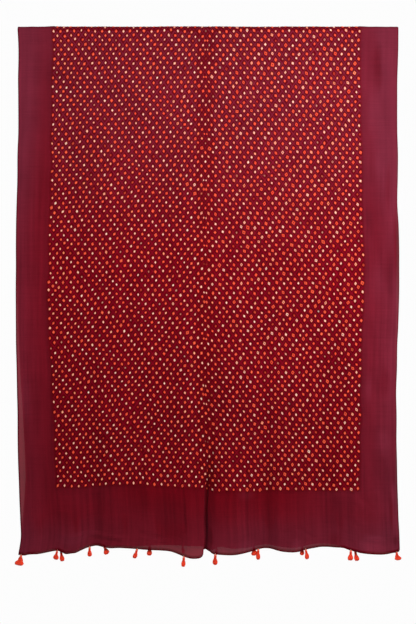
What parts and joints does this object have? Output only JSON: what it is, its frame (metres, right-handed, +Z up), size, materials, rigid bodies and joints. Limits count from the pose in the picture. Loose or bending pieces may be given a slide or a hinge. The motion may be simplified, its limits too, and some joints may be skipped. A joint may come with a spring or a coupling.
{
  "type": "bandhani cloth",
  "caption": "Tie-dyed cotton cloth hung in half over a rod, dotted all over inside plain borders, with tassels along both end hems.",
  "frame": {"origin": "on the top line of the fold, where the cloth bears on a rod, halfway across the cloth", "axes": "+X along the fold to the viewer's right, +Y from the front half to the back half, +Z up"},
  "size_m": [0.9153, 0.0384, 1.2817],
  "materials": {
    "cotton": "thin maroon cotton, tie-dyed with cream and orange dots",
    "yarn": "orange-red cut yarn"
  },
  "bodies": {
    "root": {"cloth": "cotton", "tassel_front_01": "yarn", "tassel_front_02": "yarn", "tassel_front_03": "yarn", "tassel_front_04": "yarn", "tassel_front_05": "yarn", "tassel_front_06": "yarn", "tassel_front_07": "yarn", "tassel_front_08": "yarn", "tassel_front_09": "yarn", "tassel_front_10": "yarn", "tassel_back_01": "yarn", "tassel_back_02": "yarn", "tassel_back_03": "yarn", "tassel_back_04": "yarn", "tassel_back_05": "yarn", "tassel_back_06": "yarn", "tassel_back_07": "yarn", "tassel_back_08": "yarn", "tassel_back_09": "yarn", "tassel_back_10": "yarn"}
  },
  "joints": []
}
